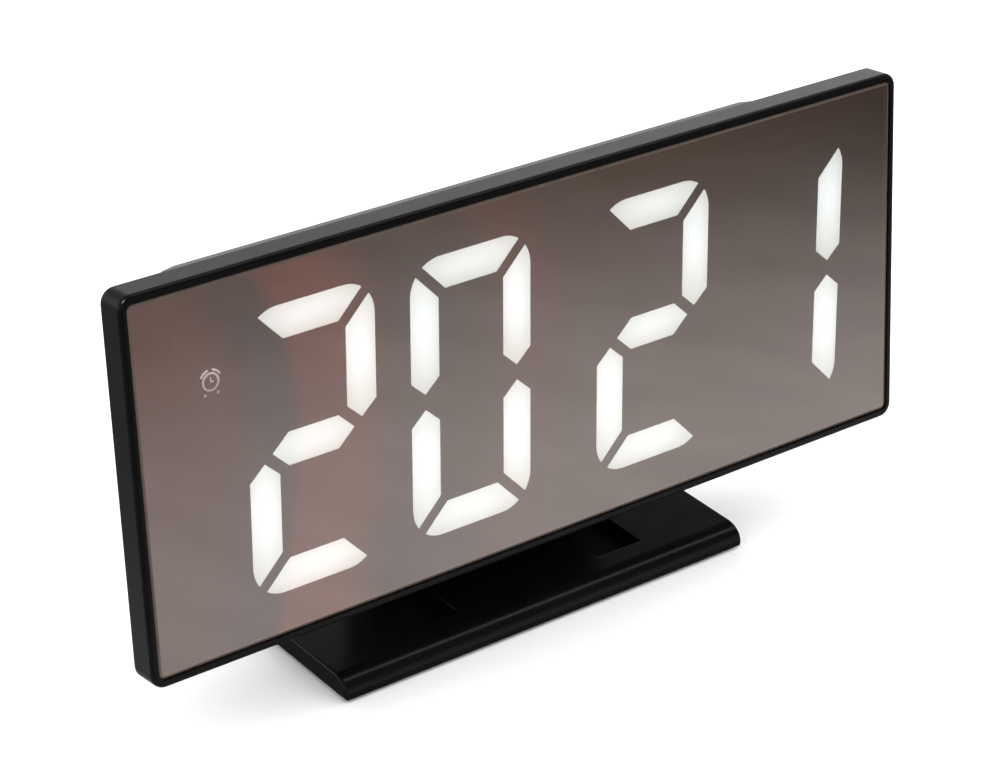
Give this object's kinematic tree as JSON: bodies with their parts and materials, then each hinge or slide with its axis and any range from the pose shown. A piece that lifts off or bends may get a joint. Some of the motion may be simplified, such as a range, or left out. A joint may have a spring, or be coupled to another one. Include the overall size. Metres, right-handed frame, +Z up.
{
  "type": "led mirror clock",
  "caption": "Wide desk clock with a half-mirror face over lit segment digits, a slim black frame, a tapered rear housing with keys and a battery door, and a flat foot that it tilts on.",
  "frame": {"origin": "middle of the foot's print on the table, at the bottom of the whole clock", "axes": "+X to the right seen from the front, +Y to the back, +Z up"},
  "size_m": [0.18, 0.0484, 0.0912],
  "materials": {
    "black_frame": "satin black moulding",
    "black_housing": "fine-textured black moulding",
    "black_foot": "half-gloss black moulding",
    "half_mirror": "brown-grey half mirror",
    "mask_black": "dull black",
    "lit_resin": "milky resin, lit from behind",
    "smoked_resin": "milky resin, unlit behind a dark mask",
    "board_green": "green solder mask",
    "black_resin": "dull black moulding",
    "switch_grey": "grey moulding",
    "key_rubber": "satin black",
    "steel": "bright",
    "nickel": "nickel-plated spring strip",
    "cell_sleeve": "printed steel sleeve, left plain grey",
    "rubber": "dull black"
  },
  "bodies": {
    "stand": {"stand": "black_foot", "foot_mat": "rubber"},
    "head": {"front_frame": "black_frame", "mirror_pane": "half_mirror", "reflector_block": "mask_black", "digit_1_segment_a": "lit_resin", "digit_1_segment_b": "lit_resin", "digit_1_segment_c": "smoked_resin", "digit_1_segment_d": "lit_resin", "digit_1_segment_e": "lit_resin", "digit_1_segment_f": "smoked_resin", "digit_1_segment_g": "lit_resin", "digit_2_segment_a": "lit_resin", "digit_2_segment_b": "lit_resin", "digit_2_segment_c": "lit_resin", "digit_2_segment_d": "lit_resin", "digit_2_segment_e": "lit_resin", "digit_2_segment_f": "lit_resin", "digit_2_segment_g": "smoked_resin", "digit_3_segment_a": "lit_resin", "digit_3_segment_b": "lit_resin", "digit_3_segment_c": "smoked_resin", "digit_3_segment_d": "lit_resin", "digit_3_segment_e": "lit_resin", "digit_3_segment_f": "smoked_resin", "digit_3_segment_g": "lit_resin", "digit_4_segment_a": "smoked_resin", "digit_4_segment_b": "lit_resin", "digit_4_segment_c": "lit_resin", "digit_4_segment_d": "smoked_resin", "digit_4_segment_e": "smoked_resin", "digit_4_segment_f": "smoked_resin", "digit_4_segment_g": "smoked_resin", "colon_dot_upper": "smoked_resin", "colon_dot_lower": "smoked_resin", "alarm_window": "lit_resin", "main_board": "board_green", "rear_housing": "black_housing", "battery_cell_1": "cell_sleeve", "battery_cell_2": "cell_sleeve", "battery_cell_3": "cell_sleeve", "contact_strip_left": "nickel", "contact_strip_right": "nickel", "buzzer": "black_resin", "power_jack": "black_resin", "key_board": "board_green", "key_switch_1": "switch_grey", "key_switch_2": "switch_grey", "key_switch_3": "switch_grey", "housing_screw_1": "steel", "housing_screw_2": "steel", "housing_screw_3": "steel", "housing_screw_4": "steel", "hinge_pin_left": "steel", "hinge_pin_right": "steel"},
    "battery_door": {"battery_door": "black_housing"},
    "mode_button": {"mode_button": "key_rubber"},
    "up_button": {"up_button": "key_rubber"},
    "down_button": {"down_button": "key_rubber"}
  },
  "joints": [
    {"name": "head_tilt", "type": "hinge", "parent": "stand", "child": "head", "pos_m": [0, -0.00867, 0.02542], "axis": [-1, 0, 0], "range_deg": [-7.5, 22.5]},
    {"name": "battery_door_slide", "type": "slide", "parent": "head", "child": "battery_door", "axis": [0, 0.1305, 0.9914], "range_m": [0, 0.048]},
    {"name": "mode_button_press", "type": "slide", "parent": "head", "child": "mode_button", "axis": [0, -0.9914, 0.1305], "range_m": [0, 0.0008], "stiffness_N_per_m": 800},
    {"name": "up_button_press", "type": "slide", "parent": "head", "child": "up_button", "axis": [0, -0.9914, 0.1305], "range_m": [0, 0.0008], "stiffness_N_per_m": 800},
    {"name": "down_button_press", "type": "slide", "parent": "head", "child": "down_button", "axis": [0, -0.9914, 0.1305], "range_m": [0, 0.0008], "stiffness_N_per_m": 800}
  ]
}
